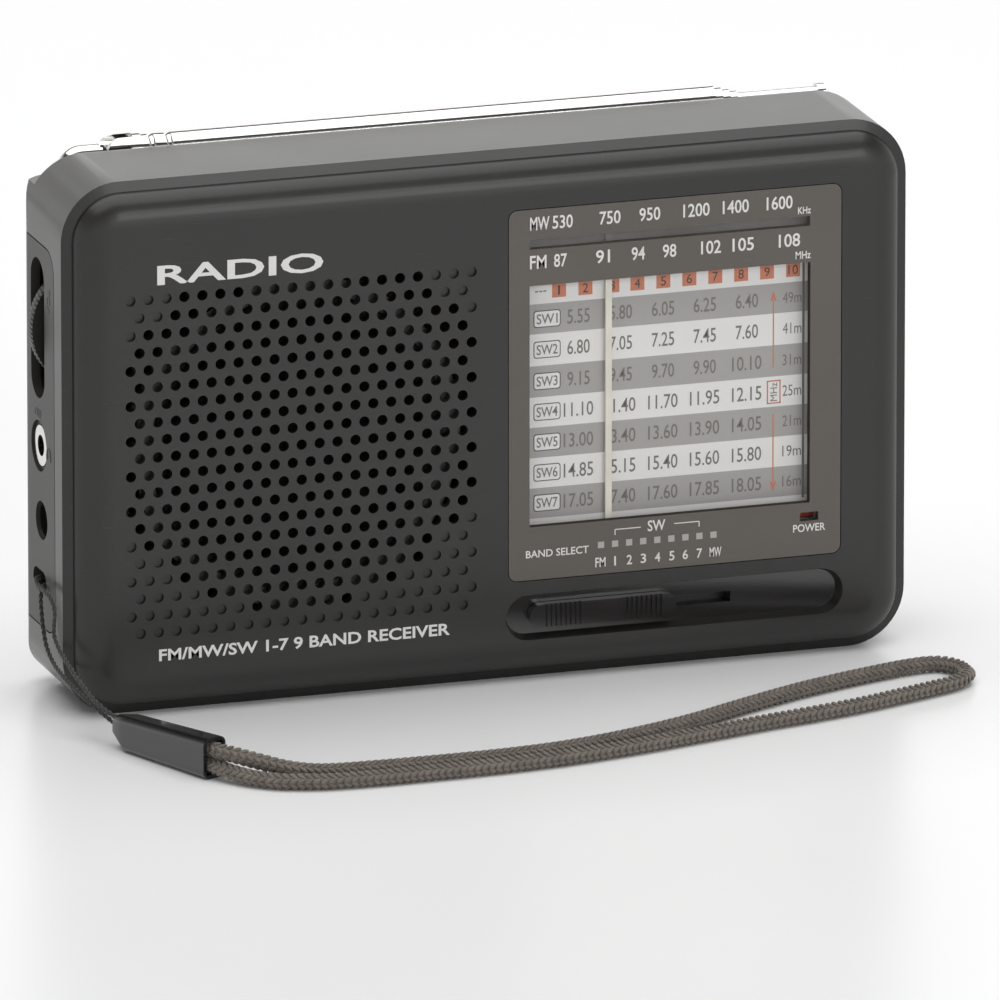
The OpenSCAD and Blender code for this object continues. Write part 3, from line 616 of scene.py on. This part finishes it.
lensMarks = {  # a bracket stroke is x, z, width, height
    "bold": 0.012, "bands": 9, "firstBand": 18.87, "bandPitch": 2.481, "bandZ": 22.95, "bandSize": 1.1,
    "bracket": [(21.34, 24.93, 0.16, 0.96), (23.6, 25.41, 4.52, 0.16),
                (33.97, 25.52, 4.42, 0.16), (36.18, 25.06, 0.16, 0.92)],
}


def printLens():
    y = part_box("dial_lens")[0].y / mm - letters["lift"]
    for z, (cap, words) in lensWords.items():
        for text, x, width in words:
            word("lens_white", text, (x, y, z), width, cap, bold=lensMarks["bold"])
    for i in range(lensMarks["bands"]):
        x = lensMarks["firstBand"] + lensMarks["bandPitch"] * i
        patch("lens_grey", (x, y, lensMarks["bandZ"]), (lensMarks["bandSize"], lensMarks["bandSize"]))
    for x, z, wide, high in lensMarks["bracket"]:
        patch("lens_white", (x, y, z), (wide, high))


plate = {
    "rowEdges": [68.13, 64.83, 59.63, 54.11, 48.69, 43.44, 38.17, 32.91, 27.67, 26.19],
    "rowMiddles": [62.2, 56.87, 51.4, 46.07, 40.8, 35.54, 30.29], "rowX": 31.9, "rowWidth": 58.6,
    "columns": [15.86, 23.3, 30.73, 38.09, 45.52], "cap": 2.45, "bold": 0.006,
    "valueWidths": {4: 3.94, 5: 5.19},
    "ticks": [12.43, 17.07, 21.8, 26.21, 30.77, 35.35, 39.92, 44.48, 49.05, 53.66], "tickZ": 66.97,
    "tickSize": 2.46, "tickCap": 1.6, "dashes": (9.2, 67, 2.0, 0.25),
    "bandX": 10.33, "bandBox": (4.76, 2.95), "bandLine": 0.16, "bandWord": (3.7, 1.75),
    # shade is x, z, width and height of a painted shadow: a thin grey strip where the window frame shades the
    # plate's right edge
    "metreX": 53.5, "metreWord": (3.3, 1.9), "shade": (55.5, 48, 0.4, 41.6),
}
arrows = {
    "x": 50.2, "stems": [(56.6, 12.6), (35.8, 12.9)], "line": 0.22, "heads": [(62.6, 0), (29.6, 180)],
    "head": (1.1, 1.6), "unitAt": (50.3, 46), "unitBox": (2.44, 4.07), "unitWord": (3.2, 1.2),
}
waves = [
    ("5.55 5.80 6.05 6.25 6.40", "49m"),
    ("6.80 7.05 7.25 7.45 7.60", "41m"),
    ("9.15 9.45 9.70 9.90 10.10", "31m"),
    ("11.10 11.40 11.70 11.95 12.15", "25m"),
    ("13.00 13.40 13.60 13.90 14.05", "21m"),
    ("14.85 15.15 15.40 15.60 15.80", "19m"),
    ("17.05 17.40 17.60 17.85 18.05", "16m"),
]


def printRows(y):
    edges = plate["rowEdges"]
    for i, (high, low) in enumerate(zip(edges, edges[1:])):
        tint = "plate_pale" if i % 2 else "plate_paper"
        patch(tint, (plate["rowX"], y, (high + low) / 2), (plate["rowWidth"], high - low))


def printTicks(y):
    for number, x in enumerate(plate["ticks"], 1):
        patch("plate_red", (x, y, plate["tickZ"]), (plate["tickSize"], plate["tickSize"]))
        width = 0.35 if number == 1 else (0.95 if number < 10 else 1.7)
        word("plate_dark", str(number), (x, y - letters["layer"], plate["tickZ"]), width, plate["tickCap"])
    x, z, width, cap = plate["dashes"]
    word("plate_grey", "---", (x, y, z), width, cap)


def printWaves(y):
    wide, high = plate["bandBox"]
    inner = (wide - 2 * plate["bandLine"], high - 2 * plate["bandLine"])
    for number, ((values, metres), z) in enumerate(zip(waves, plate["rowMiddles"]), 1):
        patch("plate_dark", (plate["bandX"], y, z), (wide, high), corner=0.5)
        patch("plate_paper", (plate["bandX"], y - letters["layer"], z), inner, corner=0.4)
        above = (plate["bandX"], y - 2 * letters["layer"], z)
        word("plate_grey", "SW" + str(number), above, *plate["bandWord"], bold=0.01)
        for x, text in zip(plate["columns"], values.split()):
            width = plate["valueWidths"][len(text)]
            word("plate_grey", text, (x, y, z), width, plate["cap"], bold=plate["bold"])
        word("plate_grey", metres, (plate["metreX"], y, z), *plate["metreWord"])


def printArrows(y):
    for z, high in arrows["stems"]:
        patch("plate_red", (arrows["x"], y, z), (arrows["line"], high))
    for z, turn in arrows["heads"]:
        at = (arrows["x"], y - letters["layer"], z)
        word("plate_red", "A", at, *arrows["head"], turn=turn, bold=0.05)
    x, z = arrows["unitAt"]
    outline("plate_red", (x, y, z), arrows["unitBox"], arrows["line"])
    word("plate_grey", "MHz", (x, y, z), *arrows["unitWord"], turn=90)


def printPlate():
    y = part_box("dial_plate")[0].y / mm - letters["lift"]
    above = y - letters["layer"]
    printRows(y)
    printTicks(above)
    printWaves(above)
    printArrows(above)
    # a painted shadow: a thin grey strip down the plate's right edge, where the window frame shades it
    x, z, wide, high = plate["shade"]
    patch("plate_grey", (x, above, z), (wide, high))


frontWords = [  # text, x, z, width, letter height, boldness
    ("RADIO", -44.2, 76.3, 28.9, 3.4, 0.02),
    ("FM/MW/SW 1-7 9 BAND RECEIVER", -33.15, 10.7, 50.9, 2.1, 0.022),
]
sideWords = [  # text, y, z, width, letter height, turn
    ("VOL", -3.4, 70, 4.6, 1.7, 90),
    ("OFF", 2.8, 49.3, 3.6, 1.5, 0),
]
phones = {"radius": 0.95, "y": -3.1, "z": 43.7, "wire": 0.11, "drop": 0.7, "cup": (0.5, 0.9), "thick": 0.16}


def printFront():
    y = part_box("front_cover")[0].y / mm - letters["lift"]
    for text, x, z, width, cap, bold in frontWords:
        word("front_white", text, (x, y, z), width, cap, bold=bold)


def printLeft():
    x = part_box("left_panel")[0].x / mm
    for text, y, z, width, cap, turn in sideWords:
        word("side_raised", text, (x, y, z), width, cap, "left", turn=turn, thick=letters["raised"])
    band = []
    for degrees in range(-20, 201, 20):  # the headphones' band, over the two cups
        a = math.radians(degrees)
        y = phones["y"] + phones["radius"] * math.cos(a)
        band.append(Vector((x, y, phones["z"] + phones["radius"] * math.sin(a))) * mm)
    put("side_raised", wireMesh("band", band, phones["wire"] * mm))
    for side in (-1, 1):
        at = (x, phones["y"] + side * phones["radius"], phones["z"] - phones["drop"])
        patch("side_raised", at, phones["cup"], "left", phones["thick"])


printing = {  # each group's ink, or none where it is moulded, and the slot it belongs to; plate_grey also holds a painted shadow strip
    "lens_white": ("white", "dial_lens"), "lens_grey": ("pale", "dial_lens"),
    "plate_paper": ("paper", "dial_print"), "plate_pale": ("pale", "dial_print"),
    "plate_red": ("red", "dial_print"), "plate_dark": ("dark", "dial_print"),
    "plate_grey": ("grey", "dial_print"), "front_white": ("white", "front_black"),
    "side_raised": (None, "side_black"),
}
printLens()
printPlate()
printFront()
printLeft()
for group, (tint, slot) in printing.items():
    mesh = meshOf(sheets[group], group, False)
    addPiece(group, mesh, "case", slot, inks[tint] if tint else None)
print("printing")


# Floor and light

room = {"floor": 3.0, "pale": (0.86, 0.89), "world": 1.05, "bright": 0.12, "dark": 0.62, "ceiling": 0.05}
lights = [  # name, place, what it points at, size, power
    ("overhead", (0, 0.1, 1.6), (0, 0, 0), (2.4, 2.4), 36),
    ("front_box", (0.55, -1.6, 0.75), (0, 0, 0.04), (0.9, 0.5), 6),
    ("back_box", (0.8, 2.6, 0.85), (0, 0, 0.05), (3.2, 0.9), 6),
]


def addFloor():
    bm = bmesh.new()
    bmesh.ops.create_grid(bm, x_segments=2, y_segments=2, size=room["floor"])
    floor = bpy.data.objects.new("floor", meshOf(bm, "floor"))
    bpy.context.scene.collection.objects.link(floor)
    made = Finish("floor", Specular_IOR_Level=0.35)
    cloud = made.noise(0.01, 3)
    first, second = [rgb((grey, grey, grey)) for grey in room["pale"]]
    made.set(Base_Color=made.mix(cloud, first, second))
    made.set(Roughness=cloud * 0.05 + 0.28)
    made.set(Normal=made.bump(made.noise(0.5, 2), 0.002))
    floor.data.materials.append(made.material)


def addWorld():  # bright at the horizon, dark above
    world = bpy.data.worlds.new("studio")
    bpy.context.scene.world = world
    world.use_nodes = True
    tree = world.node_tree
    way = addNode(tree, "TexCoord", {}, {}, "Generated")
    ramp = tree.nodes.new("ShaderNodeValToRGB")
    stops = ramp.color_ramp.elements
    stops[0].position = room["bright"]
    stops[0].color = rgb((1, 1, 1))
    stops[1].position = room["dark"]
    stops[1].color = rgb((room["ceiling"],) * 3)
    feed(tree, ramp.inputs[0], addNode(tree, "SeparateXYZ", {}, {0: way}, 2))
    back = tree.nodes["Background"]
    feed(tree, back.inputs[0], Value(tree, ramp.outputs[0]))
    back.inputs[1].default_value = room["world"]


def addLight(name, at, target, size, power):
    data = bpy.data.lights.new(name, "AREA")
    data.shape = "RECTANGLE"
    data.size, data.size_y = size
    data.energy = power
    lamp = bpy.data.objects.new(name, data)
    lamp.location = at
    lamp.rotation_euler = (Vector(at) - Vector(target)).to_track_quat("Z", "Y").to_euler()
    bpy.context.scene.collection.objects.link(lamp)


addFloor()
addWorld()
for light in lights:
    addLight(*light)
bpy.context.scene.view_settings.view_transform = "Standard"
print("light")
